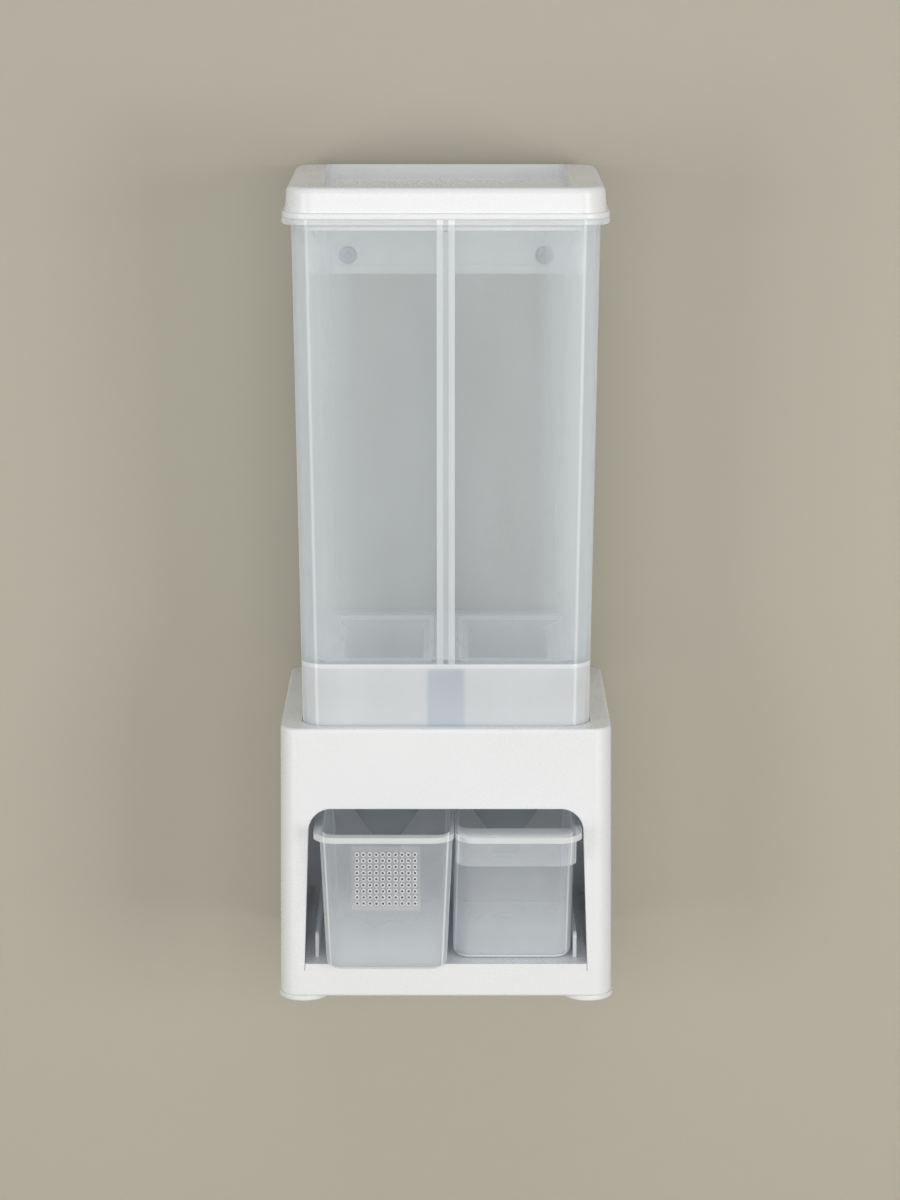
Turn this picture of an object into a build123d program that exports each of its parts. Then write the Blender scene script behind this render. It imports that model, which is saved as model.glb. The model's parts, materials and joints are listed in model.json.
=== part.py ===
from build123d import *
import os
from math import acos, cos, degrees, pi, radians, sin, sqrt, tan

os.makedirs("parts", exist_ok=True)

# Wall-hung grain holder with two compartments, a gate under each and two cups.
# Millimetres. X is to the right, Y goes back to the wall at Y = 0, Z is up.
# A name ending in _h is a height above the underside of the feet.

# Clearances
slide_gap = 0.3  # between pieces that move past each other
seat_gap = 0.2  # between pieces that stay put

# Container, which tapers down to its skirt
container_width = 146.0  # at the housing's top
container_depth = 124.0
container_rise = 257.1  # above the housing's top
container_draft = 0.79  # degrees
container_wall = 2.0
container_corner = 13.0
container_rim_side = 4.5  # how far the rim stands out
container_rim_front = 4.2
container_rim_thick = 3.0
container_rim_corner = 15.0
container_rim_edge = 0.75
container_floor_rise = 33.7  # above the housing's top
container_seat_gap = 0.5
slot_rib_thick = 2.8
slot_rib_reach = 3.0
divider_thick = 2.4
divider_head_gap = 0.6  # under the lid's plug

# Hoppers under the container's floor, and their necks
outlet_x = 32.1
hopper_land_side = 2.45  # flat floor left at the side wall
hopper_land_middle = 6.0
hopper_land_end = 4.45
hopper_throat_drop = 7.0
hopper_throat_step = 4.0
hopper_corner = 2.0
neck_width = 45.0
neck_depth = 17.0
neck_top_rise = 5.0  # above the deck
neck_end_rise = 2.0  # above the axle
neck_gap = 0.5

# Base: housing, tray and feet
ledge_side = 12.0  # top of the housing beside the container
ledge_front = 8.0
base_draft = 0.5  # degrees that the sides and the front lean in
base_corner_front = 10.0
base_corner_back = 6.0
shell_wall = 2.4
foot_radius = 13.0
foot_thick = 3.0
foot_inset_x = 12.0
foot_inset_y = 14.0
foot_spigot_radius = 7.8
foot_spigot_length = 4.0
foot_ring_wall = 3.0
tray_seam_h = 16.6
platform_rise = 3.8  # of the tray's floor over the seam
tray_rib_thick = 1.6
guide_thick = 1.8
guide_inset = 4.9
guide_height = 13.0
guide_front_setback = 12.0
guide_back_setback = 20.0
guide_corner = 3.0
housing_top_h = 144.0
housing_edge = 1.6
seat_edge = 0.5
fascia_height = 41.8  # front of the housing above the arch
arch_post = 12.6  # front of the housing beside the arch
arch_lean = 2.0  # degrees
arch_corner = 11.5
arch_edge = 0.6
base_hole_radius = 2.3
base_hole_inset = 19.0
base_hole_h = 80.0

# Screws
screw_radius = 1.25
screw_head_radius = 3.0
screw_head_thick = 1.8
screw_pilot_gap = 0.05
screw_pass_gap = 0.35
post_radius = 4.0
tray_post_inset = 6.0
tray_post_front = 45.0
tray_post_back = 35.0
tray_post_length = 20.0
tray_screw_length = 14.0
deck_post_front = 28.0
deck_post_back = 28.0
deck_post_gap = 1.4
deck_screw_length = 8.4

# Gate deck with a chute for each neck
deck_drop = 8.0  # below the housing's top
deck_thick = 3.0
deck_edge_gap = 0.5
chute_wall = 2.0
chute_axle_gap = 1.5

# Gate levers, their axles and springs
axle_drop = 13.0  # below the deck
axle_y = -25.0
axle_radius = 1.5
axle_fit = 0.02
axle_run_fit = 0.06
gate_radius = 24.3  # inner face of the curved gate
gate_thick = 2.0
gate_back_angle = 12.0  # degrees behind straight down
arm_thick = 2.5
boss_radius = 5.0
paddle_thick = 2.5
paddle_shoulder_drop = 34.0  # below the axle
paddle_waist_drop = 63.4
paddle_end_drop = 73.8
tongue_width = 15.2
tongue_corner = 2.5
paddle_rib_thick = 2.0
paddle_rib_reach = 4.0
paddle_rib_end = 4.0
spring_wire = 0.8
spring_coil_radius = 3.2
spring_pitch = 1.15
spring_turns = 4
spring_leg_down = 12.0
spring_socket_depth = 3.0
spring_socket_radius = 2.2
spring_socket_hole = 0.8
spring_side_gap = 0.9
peg_radius = 1.0
peg_drop = 10.0
clip_thick = 0.7
clip_radius = 3.4
clip_slot = 1.8
groove_depth = 0.3

# Lid
lid_step_side = 1.45  # from the rim in to the lid
lid_step_front = 1.2
lid_draft = 3.2  # degrees
lid_corner = 14.0
lid_height = 15.4
lid_flange_thick = 3.0
lid_flange_edge = 0.7
lid_edge = 3.0
lid_wall = 2.2
recess_side_bar = 17.35
recess_front_bar = 7.0
recess_back_bar = 4.0
recess_drop = 7.5
recess_corner = 5.0
plug_reach = 6.0  # below the rim's top
plug_gap = 1.2
plug_wall = 1.8
seal_height = 2.4
seal_sink = 0.8
seal_drop = 2.0  # below the rim's top

# Cups, side by side in the arch
cup_floor_gap = 0.3
cup_top_gap = 8.8  # below the arch
cup_left_gap = 2.8  # beside the left cup's rim
cup_right_gap = 1.0
cup_meet_x = 4.45
cup_meet_gap = 0.6
cup_stand_out = 19.4  # of the rims before the base
cup_lever_gap = 4.75
cup_wall = 1.5
cup_lip_height = 3.6
cup_lip_thick = 1.3
cup_lip_edge = 0.4
cup_overhang = 2.9
cup_meet_overhang = 0.5
cup_draft = 2.6  # degrees
right_cup_draft = 1.4  # degrees that the right cup's side walls both lean left
cup_corner = 9.0
cup_foot_radius = 5.0
hood_depth = 23.1
hood_height = 16.2
hood_sink = 2.4  # of its top below the rim
hood_wall = 1.3
hood_proud = 0.2
drain_columns = 10
drain_rows = 9
drain_pitch = 3.25
drain_radius = 0.72
drain_drop = 23.0  # from the rim to the middle of the grid
drain_pad_width = 35.0
drain_pad_height = 34.0
drain_pad_thick = 0.3
drain_pad_corner = 2.0

# Wall bracket
bracket_height = 39.2
bracket_side_gap = 1.5  # inside the container's width
bracket_plate_thick = 3.0
bracket_lip_height = 4.5
bracket_corner = 3.0
bracket_hole_inset = 23.0
bracket_hole_rise = 9.8
bracket_hole_radius = 2.3
bracket_sink_radius = 4.8
bracket_sink_depth = 1.2

# Heights and outlines that follow from these
container_top_h = housing_top_h + container_rise
rim_under_h = container_top_h - container_rim_thick
container_floor_h = housing_top_h + container_floor_rise
container_spread = (rim_under_h - housing_top_h) * tan(radians(container_draft))
container_rim_width = container_width + 2 * (container_spread + container_rim_side)
container_rim_depth = container_depth + 2 * (container_spread + container_rim_front)
container_middle_y = -container_rim_depth / 2 - slide_gap
base_width = container_width + 2 * ledge_side
base_depth = container_depth / 2 + ledge_front - container_middle_y
tray_floor_h = tray_seam_h + platform_rise
arch_top_h = housing_top_h - fascia_height
arch_width = base_width - 2 * arch_post  # at the seam
deck_top_h = housing_top_h - deck_drop
deck_under_h = deck_top_h - deck_thick
axle_h = deck_under_h - axle_drop
neck_top_h = deck_top_h + neck_top_rise
neck_end_h = axle_h + neck_end_rise
cup_floor_h = tray_floor_h + cup_floor_gap
cup_top_h = arch_top_h - cup_top_gap
cup_lip_h = cup_top_h - cup_lip_height
bracket_top_h = rim_under_h - slide_gap
bracket_bottom_h = bracket_top_h - bracket_height
screw_h = bracket_bottom_h + bracket_hole_rise  # the bracket's screws, which are the origin


def level(height):
    return height - screw_h


# Outlines are (left x, right x, front y, back y)
def centred(width, depth, middle_x, middle_y):
    return (
        middle_x - width / 2,
        middle_x + width / 2,
        middle_y - depth / 2,
        middle_y + depth / 2,
    )


def drawn_in(outline, inset):
    left, right, front, back = outline
    return (left + inset, right - inset, front + inset, back - inset)


# The base's outline at a height: the back stays flat on the wall
def base_outline(height, inset=0.0):
    lean_in = (height - tray_seam_h) * tan(radians(base_draft))
    half = base_width / 2 - lean_in
    return drawn_in((-half, half, lean_in - base_depth, 0.0), inset)


def container_outline(height, inset=0.0):
    spread = 2 * (height - housing_top_h) * tan(radians(container_draft))
    width = container_width + spread
    return drawn_in(centred(width, container_depth + spread, 0, container_middle_y), inset)


# A flat face with rounded corners
def plan(height, outline, front_radius, back_radius):
    left, right, front, back = outline
    with BuildSketch(Plane.XY.offset(level(height))) as face:
        with Locations(((left + right) / 2, (front + back) / 2)):
            Rectangle(right - left, back - front)
        fillet(face.vertices().group_by(Axis.Y)[0], front_radius)
        fillet(face.vertices().group_by(Axis.Y)[-1], back_radius)
    return face.sketch


# A block between two outlines, with flat leaning sides and rounded upright edges
def leaning_block(low_h, high_h, low, high, front_radius, back_radius):
    with BuildPart() as block:
        for side_view, first, mode in ((Plane.XZ, 0, Mode.ADD), (Plane.YZ, 2, Mode.INTERSECT)):
            with BuildSketch(side_view):
                with BuildLine():
                    Polyline(
                        (low[first], level(low_h)),
                        (low[first + 1], level(low_h)),
                        (high[first + 1], level(high_h)),
                        (high[first], level(high_h)),
                        close=True,
                    )
                make_face()
            extrude(amount=base_width + base_depth, both=True, mode=mode)
        for ends, radius in ((slice(0, 2), front_radius), (slice(-2, None), back_radius)):
            upright = block.edges().filter_by(
                lambda edge: edge.bounding_box().size.Z > (high_h - low_h) / 2
            )
            fillet(upright.sort_by(Axis.Y)[ends], radius)
    return block.part


def base_block(low_h, high_h, inset=0.0):
    low, high = base_outline(low_h, inset), base_outline(high_h, inset)
    return leaning_block(
        low_h, high_h, low, high, base_corner_front - inset, base_corner_back - inset
    )


def base_plan(height, inset=0.0):
    outline = base_outline(height, inset)
    return plan(height, outline, base_corner_front - inset, base_corner_back - inset)


def container_block(low_h, high_h, inset=0.0):
    low, high = container_outline(low_h, inset), container_outline(high_h, inset)
    radius = container_corner - inset
    return leaning_block(low_h, high_h, low, high, radius, radius)


# A ring-shaped or round group of pieces standing on a level, one at each spot
def discs(height, spots, radius, hole=0.0):
    with BuildSketch(Plane.XY.offset(level(height))) as outline:
        with Locations(*spots):
            Circle(radius)
            if hole:
                Circle(hole, mode=Mode.SUBTRACT)
    return outline.sketch


# Screws that point up, their heads under the seat
def screws_up(spots, seat_h, length):
    with BuildPart() as group:
        with Locations(*[(x, y, level(seat_h)) for x, y in spots]):
            Cylinder(
                screw_head_radius,
                screw_head_thick,
                align=(Align.CENTER, Align.CENTER, Align.MAX),
            )
        fillet(group.edges().group_by(Axis.Z)[0], screw_head_thick / 3)
        with Locations(*[(x, y, level(seat_h)) for x, y in spots]):
            Cylinder(
                screw_radius, length, align=(Align.CENTER, Align.CENTER, Align.MIN)
            )
        chamfer(group.edges().group_by(Axis.Z)[-1], screw_radius * 0.6)
    return group.part


tray_plate_h = tray_seam_h - shell_wall
foot_spots = [
    (side * (base_width / 2 - foot_inset_x), y)
    for side in (-1, 1)
    for y in (-base_depth + foot_inset_y, -foot_inset_y)
]
tray_post_spots = [
    (side * (base_width / 2 - tray_post_inset), y)
    for side in (-1, 1)
    for y in (-base_depth + tray_post_front, -tray_post_back)
]
ledge_middle_x = base_width / 2 - shell_wall - post_radius - deck_post_gap
deck_post_spots = [
    (side * ledge_middle_x, y)
    for side in (-1, 1)
    for y in (-base_depth + deck_post_front, -deck_post_back)
]

# Housing: a drafted shell with an arch in front and a seat for the container on top
with BuildPart() as housing:
    add(base_block(tray_seam_h, housing_top_h))
    top_rim = housing.edges().group_by(Axis.Z)[-1].sort_by(Axis.Y)[:-1]
    fillet(top_rim, housing_edge)
    add(base_block(tray_seam_h, housing_top_h - shell_wall, shell_wall), mode=Mode.SUBTRACT)
    with BuildSketch(Plane.XZ.offset(base_depth)) as arch:
        rise = arch_top_h - tray_seam_h
        half_top = arch_width / 2 - rise * tan(radians(arch_lean))
        with BuildLine():
            Polyline(
                (-arch_width / 2, level(tray_seam_h)),
                (arch_width / 2, level(tray_seam_h)),
                (half_top, level(arch_top_h)),
                (-half_top, level(arch_top_h)),
                close=True,
            )
        make_face()
        fillet(arch.vertices().group_by(Axis.Y)[-1], arch_corner)
    extrude(amount=-2 * shell_wall, mode=Mode.SUBTRACT)
    front_face = housing.faces().filter_by(
        lambda face: face.center().Y < shell_wall / 2 - base_depth
    )
    around_arch = front_face.sort_by(SortBy.AREA)[-1].edges().filter_by(
        lambda edge: abs(edge.center().X) < arch_width / 2
        and level(tray_seam_h) < edge.center().Z < level(arch_top_h) + arch_edge
    )
    fillet(around_arch, arch_edge)
    seat = plan(
        housing_top_h,
        container_outline(housing_top_h, -container_seat_gap),
        container_corner + container_seat_gap,
        container_corner + container_seat_gap,
    )
    extrude(seat, amount=-shell_wall, mode=Mode.SUBTRACT)
    deck_post_length = housing_top_h - shell_wall - deck_top_h
    extrude(discs(deck_top_h, deck_post_spots, post_radius), amount=deck_post_length)
    extrude(
        discs(deck_top_h, deck_post_spots, screw_radius + screw_pilot_gap),
        amount=deck_post_length + shell_wall / 3,
        mode=Mode.SUBTRACT,
    )
    extrude(discs(tray_seam_h, tray_post_spots, post_radius), amount=tray_post_length)
    extrude(
        discs(tray_seam_h, tray_post_spots, screw_radius + screw_pilot_gap),
        amount=tray_screw_length,
        mode=Mode.SUBTRACT,
    )
    with BuildSketch(Plane.XZ):
        with Locations((0, level(base_hole_h))):
            with GridLocations(base_width - 2 * base_hole_inset, 1, 2, 1):
                Circle(base_hole_radius)
    extrude(amount=shell_wall, mode=Mode.SUBTRACT)
housing.part.label = "housing"
export_step(housing.part, "parts/housing.step")

# Tray: a skirted plate whose raised floor carries the cups between two guides
platform_half = arch_width / 2 - slide_gap
platform_outline = (-platform_half, platform_half, -base_depth, -shell_wall - slide_gap)
with BuildPart() as tray:
    extrude(base_plan(tray_seam_h), amount=foot_thick - tray_seam_h)
    fillet(tray.edges().group_by(Axis.Z)[0], housing_edge)
    platform = plan(tray_seam_h, platform_outline, slide_gap, slide_gap)
    extrude(platform, amount=tray_floor_h - tray_seam_h)
    hollow = base_plan(tray_seam_h, shell_wall)
    hollow = hollow.moved(Location((0, 0, -shell_wall)))
    extrude(hollow, amount=foot_thick - tray_plate_h, mode=Mode.SUBTRACT)
    under = plan(tray_plate_h, drawn_in(platform_outline, shell_wall), slide_gap, slide_gap)
    extrude(under, amount=tray_floor_h - tray_seam_h, mode=Mode.SUBTRACT)
    rib_height = tray_floor_h - shell_wall - 2 * foot_thick
    with Locations((0, -base_depth / 2, level(tray_floor_h - shell_wall))):
        with GridLocations(platform_half / 2, 1, 3, 1):
            Box(
                tray_rib_thick,
                base_depth - 2 * shell_wall,
                rib_height,
                align=(Align.CENTER, Align.CENTER, Align.MAX),
            )
        with GridLocations(1, base_depth / 3, 1, 2):
            Box(
                2 * platform_half - shell_wall,
                tray_rib_thick,
                rib_height,
                align=(Align.CENTER, Align.CENTER, Align.MAX),
            )
    ring_inside = foot_spigot_radius + seat_gap
    rings = discs(foot_thick, foot_spots, ring_inside + foot_ring_wall)
    extrude(rings, amount=tray_plate_h - foot_thick)
    bores = discs(foot_thick, foot_spots, ring_inside)
    extrude(bores, amount=tray_plate_h - foot_thick, mode=Mode.SUBTRACT)
    pass_holes = discs(tray_plate_h, tray_post_spots, screw_radius + screw_pass_gap)
    extrude(pass_holes, amount=shell_wall, mode=Mode.SUBTRACT)
    guide_top_h = tray_floor_h + guide_height
    with BuildSketch(Plane.YZ.offset(platform_half - guide_inset - guide_thick)) as guide:
        with BuildLine():
            Polyline(
                (-base_depth + guide_front_setback, level(tray_floor_h)),
                (-guide_back_setback, level(tray_floor_h)),
                (-guide_back_setback, level(guide_top_h)),
                (-base_depth + guide_front_setback, level(guide_top_h)),
                close=True,
            )
        make_face()
        fillet(guide.vertices().group_by(Axis.Y)[-1], guide_corner)
    right_guide = extrude(amount=guide_thick)
    mirror(right_guide, about=Plane.YZ)
tray.part.label = "tray"
export_step(tray.part, "parts/tray.step")

# Feet: round pads with a spigot in the tray's rings
with BuildPart() as feet:
    extrude(discs(0, foot_spots, foot_radius), amount=foot_thick)
    fillet(feet.edges().group_by(Axis.Z)[0], foot_thick * 0.4)
    extrude(discs(foot_thick, foot_spots, foot_spigot_radius), amount=foot_spigot_length)
feet.part.label = "feet"
export_step(feet.part, "parts/feet.step")

tray_screws = screws_up(tray_post_spots, tray_plate_h, tray_screw_length)
tray_screws.label = "tray_screws"
export_step(tray_screws, "parts/tray_screws.step")

# Gate deck: carries the container's skirt, and a chute under each neck
chute_width = neck_width + 2 * neck_gap
chute_depth = neck_depth + 2 * neck_gap
chute_back_y = axle_y - axle_radius - chute_axle_gap - chute_wall
chute_front_y = chute_back_y - chute_depth
neck_middle_y = (chute_back_y + chute_front_y) / 2
chute_arc = gate_radius - slide_gap
front_drop = sqrt(chute_arc**2 - (axle_y - chute_front_y) ** 2)
back_drop = sqrt(chute_arc**2 - (axle_y - chute_back_y - chute_wall) ** 2)
front_end_h = axle_h - front_drop
back_end_h = axle_h - back_drop
spring_start_x = outlet_x + chute_width / 2 + chute_wall + slide_gap + arm_thick + spring_side_gap
spring_leg_up = deck_under_h - axle_h - spring_socket_depth / 2
spring_lead = spring_pitch / (2 * pi * spring_coil_radius)
socket_x = spring_start_x - spring_lead * spring_leg_up
with BuildPart() as gate_deck:
    deck_plan = base_plan(deck_under_h, shell_wall + deck_edge_gap)
    extrude(deck_plan, amount=deck_thick)
    for side in (-1, 1):
        with BuildSketch(
            Plane.YZ.offset(side * outlet_x - chute_width / 2 - chute_wall)
        ) as cheek:
            with BuildLine():
                front_face = chute_front_y - chute_wall
                back_face = chute_back_y + chute_wall
                mid_angle = radians(225)
                Polyline(
                    (chute_front_y, level(front_end_h)),
                    (front_face, level(front_end_h)),
                    (front_face, level(deck_under_h)),
                    (back_face, level(deck_under_h)),
                    (back_face, level(back_end_h)),
                )
                ThreePointArc(
                    (back_face, level(back_end_h)),
                    (
                        axle_y + chute_arc * cos(mid_angle),
                        level(axle_h) + chute_arc * sin(mid_angle),
                    ),
                    (chute_front_y, level(front_end_h)),
                )
            make_face()
            with Locations((axle_y, level(axle_h))):
                Circle(boss_radius)
                Rectangle(
                    2 * boss_radius,
                    deck_under_h - axle_h,
                    align=(Align.CENTER, Align.MIN),
                )
        extrude(amount=chute_width + 2 * chute_wall)
        with BuildSketch(Plane.XY.offset(level(deck_top_h))):
            with Locations((side * outlet_x, neck_middle_y)):
                Rectangle(chute_width, chute_depth)
        extrude(amount=axle_h - gate_radius - deck_top_h, mode=Mode.SUBTRACT)
        with BuildSketch(Plane.XY.offset(level(deck_under_h))):
            with Locations((side * outlet_x, back_face)):
                Rectangle(
                    chute_width,
                    2 * boss_radius + chute_wall,
                    align=(Align.CENTER, Align.MIN),
                )
        extrude(amount=-2 * boss_radius - deck_under_h + axle_h, mode=Mode.SUBTRACT)
    with BuildSketch(Plane.YZ.offset(-base_width / 2)):
        with Locations((axle_y, level(axle_h))):
            Circle(axle_radius + axle_fit)
    extrude(amount=base_width, mode=Mode.SUBTRACT)
    pass_holes = discs(deck_under_h, deck_post_spots, screw_radius + screw_pass_gap)
    extrude(pass_holes, amount=deck_thick, mode=Mode.SUBTRACT)
    sockets = [(side * socket_x, axle_y - spring_coil_radius) for side in (-1, 1)]
    socket = discs(deck_under_h, sockets, spring_socket_radius, spring_socket_hole)
    extrude(socket, amount=-spring_socket_depth)
gate_deck.part.label = "gate_deck"
export_step(gate_deck.part, "parts/gate_deck.step")

deck_screws = screws_up(deck_post_spots, deck_under_h, deck_screw_length)
deck_screws.label = "deck_screws"
export_step(deck_screws, "parts/deck_screws.step")

# Right gate lever: two arms, the curved gate between them and the paddle below
gate_front_angle = degrees(acos((front_drop + slide_gap) / gate_radius))
lever_width = chute_width + 2 * (chute_wall + slide_gap + arm_thick)
arc_start = 270 - gate_front_angle
arc_size = gate_front_angle + gate_back_angle
axle_point = (axle_y, level(axle_h))
with BuildPart() as right_gate_lever:
    lever_left = Plane.YZ.offset(outlet_x - lever_width / 2)
    lever_right = Plane.YZ.offset(outlet_x + lever_width / 2 - arm_thick)
    for side_plane in (lever_left, lever_right):
        with BuildSketch(side_plane):
            with BuildLine():
                rim = CenterArc(axle_point, gate_radius + gate_thick, arc_start, arc_size)
                Line(rim @ 1, axle_point)
                Line(axle_point, rim @ 0)
            make_face()
            with Locations(axle_point):
                Circle(boss_radius)
                Circle(axle_radius + axle_run_fit, mode=Mode.SUBTRACT)
        extrude(amount=arm_thick)
    with BuildSketch(lever_left):
        with BuildLine():
            outer = CenterArc(axle_point, gate_radius + gate_thick, arc_start, arc_size)
            inner = CenterArc(axle_point, gate_radius, arc_start, arc_size)
            Line(outer @ 0, inner @ 0)
            Line(outer @ 1, inner @ 1)
        make_face()
    extrude(amount=lever_width)
    with BuildSketch(Plane.XZ.offset(paddle_thick / 2 - axle_y)) as paddle:
        with BuildLine():
            half = lever_width / 2
            Polyline(
                (outlet_x - half, level(axle_h - gate_radius - gate_thick / 2)),
                (outlet_x - half, level(axle_h - paddle_shoulder_drop)),
                (outlet_x - tongue_width / 2, level(axle_h - paddle_waist_drop)),
                (outlet_x - tongue_width / 2, level(axle_h - paddle_end_drop)),
                (outlet_x + tongue_width / 2, level(axle_h - paddle_end_drop)),
                (outlet_x + tongue_width / 2, level(axle_h - paddle_waist_drop)),
                (outlet_x + half, level(axle_h - paddle_shoulder_drop)),
                (outlet_x + half, level(axle_h - gate_radius - gate_thick / 2)),
                close=True,
            )
        make_face()
        fillet(paddle.vertices().group_by(Axis.Y)[0], tongue_corner)
    extrude(amount=-paddle_thick)
    with BuildSketch(Plane.YZ.offset(outlet_x - paddle_rib_thick / 2)):
        with BuildLine():
            rib_y = axle_y + paddle_thick / 2
            rib_end_h = axle_h - paddle_end_drop + paddle_rib_end
            Polyline(
                (rib_y - 0.5, level(rib_end_h)),
                (rib_y, level(rib_end_h)),
                (rib_y + paddle_rib_reach, level(axle_h - paddle_shoulder_drop)),
                (rib_y + paddle_rib_reach, level(axle_h - gate_radius - gate_thick / 2)),
                (rib_y - 0.5, level(axle_h - gate_radius - gate_thick / 2)),
                close=True,
            )
        make_face()
    extrude(amount=paddle_rib_thick)
    peg_y = axle_y - spring_coil_radius - spring_wire / 2 - slide_gap - peg_radius
    with BuildSketch(Plane.YZ.offset(outlet_x + lever_width / 2)):
        with Locations((peg_y, level(axle_h - peg_drop))):
            Circle(peg_radius)
    extrude(amount=spring_side_gap + spring_pitch * (spring_turns + 1))
right_gate_lever.part.label = "right_gate_lever"
export_step(right_gate_lever.part, "parts/right_gate_lever.step")

with BuildPart() as left_gate_lever:
    mirror(right_gate_lever.part, about=Plane.YZ)
left_gate_lever.part.label = "left_gate_lever"
export_step(left_gate_lever.part, "parts/left_gate_lever.step")

# Axle, with a groove near each end for its clips
spring_length = spring_pitch * spring_turns
axle_inner_x = outlet_x - lever_width / 2 - slide_gap
axle_outer_x = spring_start_x + spring_length + spring_wire + slide_gap
clip_inner_x = axle_inner_x - clip_thick
axle_start_x = clip_inner_x - 2 * clip_thick
with BuildPart() as right_axle:
    with BuildSketch(Plane.YZ.offset(axle_start_x)):
        with Locations(axle_point):
            Circle(axle_radius)
    extrude(amount=axle_outer_x + 3 * clip_thick - axle_start_x)
    chamfer(right_axle.edges().filter_by(GeomType.CIRCLE), axle_radius / 5)
    for groove_x in (clip_inner_x, axle_outer_x):
        with BuildSketch(Plane.YZ.offset(groove_x)):
            with Locations(axle_point):
                Circle(axle_radius)
                Circle(axle_radius - groove_depth, mode=Mode.SUBTRACT)
        extrude(amount=clip_thick, mode=Mode.SUBTRACT)
right_axle.part.label = "right_axle"
export_step(right_axle.part, "parts/right_axle.step")

with BuildPart() as left_axle:
    mirror(right_axle.part, about=Plane.YZ)
left_axle.part.label = "left_axle"
export_step(left_axle.part, "parts/left_axle.step")

# Retaining clips: slotted rings in the axle's grooves
with BuildPart() as right_axle_clips:
    for groove_x in (clip_inner_x, axle_outer_x):
        with BuildSketch(Plane.YZ.offset(groove_x)):
            with Locations(axle_point):
                Circle(clip_radius)
                Circle(axle_radius - groove_depth, mode=Mode.SUBTRACT)
                Rectangle(
                    clip_slot,
                    clip_radius + 1,
                    align=(Align.CENTER, Align.MIN),
                    mode=Mode.SUBTRACT,
                )
        extrude(amount=clip_thick)
right_axle_clips.part.label = "right_axle_clips"
export_step(right_axle_clips.part, "parts/right_axle_clips.step")

with BuildPart() as left_axle_clips:
    mirror(right_axle_clips.part, about=Plane.YZ)
left_axle_clips.part.label = "left_axle_clips"
export_step(left_axle_clips.part, "parts/left_axle_clips.step")

# Torsion spring: one leg up in the deck, one leg down against the lever's peg
coil_plane = Plane(
    origin=(spring_start_x, axle_y, level(axle_h)), x_dir=(0, -1, 0), z_dir=(1, 0, 0)
)
with BuildPart() as upright_spring:
    with BuildLine() as wire:
        coil = Helix(spring_pitch, spring_length, spring_coil_radius)
        Line(coil @ 0, coil @ 0 - (coil % 0) * spring_leg_up)
        Line(coil @ 1, coil @ 1 + (coil % 1) * spring_leg_down)
    path = wire.wires()[0]
    with BuildSketch(Plane(origin=path @ 0, z_dir=path % 0)):
        Circle(spring_wire / 2)
    sweep(path=path)
with BuildPart() as right_spring:
    add(upright_spring.part.moved(Location(coil_plane)))
right_spring.part.label = "right_spring"
export_step(right_spring.part, "parts/right_spring.step")

with BuildPart() as left_spring:
    mirror(right_spring.part, about=Plane.YZ)
left_spring.part.label = "left_spring"
export_step(left_spring.part, "parts/left_spring.step")

# Container: a drafted shell with a skirt, a floor, two hoppers and their necks
plug_end_h = container_top_h - plug_reach
divider_top_h = plug_end_h - divider_head_gap
rim_outline = centred(container_rim_width, container_rim_depth, 0, container_middle_y)
floor_outline = container_outline(container_floor_h, container_wall)
mouth_width = floor_outline[1] - hopper_land_side - hopper_land_middle / 2
mouth_depth = floor_outline[3] - floor_outline[2] - 2 * hopper_land_end
mouth_x = (hopper_land_middle + mouth_width) / 2


# The levels of a hopper, from its mouth down to its neck
def hopper(side, inset):
    throat_h = container_floor_h - hopper_throat_drop
    throat_depth = mouth_depth - 2 * hopper_throat_step
    sections = (
        (container_floor_h, mouth_width, mouth_depth, mouth_x, container_middle_y),
        (throat_h, neck_width, throat_depth, outlet_x, container_middle_y),
        (neck_top_h, neck_width, neck_depth, outlet_x, neck_middle_y),
    )
    return [
        plan(
            height,
            drawn_in(centred(width, depth, side * middle_x, middle_y), inset),
            hopper_corner,
            hopper_corner,
        )
        for height, width, depth, middle_x, middle_y in sections
    ]


with BuildPart() as container:
    extrude(
        plan(rim_under_h, rim_outline, container_rim_corner, container_rim_corner),
        amount=container_rim_thick,
    )
    rim_edges = container.edges().group_by(Axis.Z)
    fillet(rim_edges[-1] + rim_edges[0], container_rim_edge)
    add(container_block(deck_top_h, rim_under_h + container_rim_edge))
    add(
        container_block(container_floor_h, container_top_h, container_wall),
        mode=Mode.SUBTRACT,
    )
    add(
        container_block(deck_top_h, container_floor_h - container_wall, container_wall),
        mode=Mode.SUBTRACT,
    )
    for side in (-1, 1):
        loft(hopper(side, 0.0), ruled=True)
        extrude(hopper(side, 0.0)[-1], amount=neck_end_h - neck_top_h)
    for side in (-1, 1):
        loft(hopper(side, container_wall), ruled=True, mode=Mode.SUBTRACT)
        extrude(
            hopper(side, container_wall)[-1],
            amount=neck_end_h - neck_top_h,
            mode=Mode.SUBTRACT,
        )
    half_floor = container_depth / 2 - container_wall
    floor_y = half_floor + (container_floor_h - housing_top_h) * tan(radians(container_draft))
    head_y = half_floor + (divider_top_h - housing_top_h) * tan(radians(container_draft))
    rib_x = divider_thick / 2 + slide_gap
    for rib_side_x in (rib_x, -rib_x - slot_rib_thick):
        for way in (-1, 1):
            with BuildSketch(Plane.YZ.offset(rib_side_x)):
                with BuildLine():
                    foot_y = container_middle_y + way * floor_y
                    top_y = container_middle_y + way * head_y
                    into_wall = way * container_wall / 4
                    Polyline(
                        (foot_y + into_wall, level(container_floor_h)),
                        (foot_y - way * slot_rib_reach, level(container_floor_h)),
                        (top_y - way * slot_rib_reach, level(divider_top_h)),
                        (top_y + into_wall, level(divider_top_h)),
                        close=True,
                    )
                make_face()
            extrude(amount=slot_rib_thick)
container.part.label = "container"
export_step(container.part, "parts/container.step")

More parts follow.
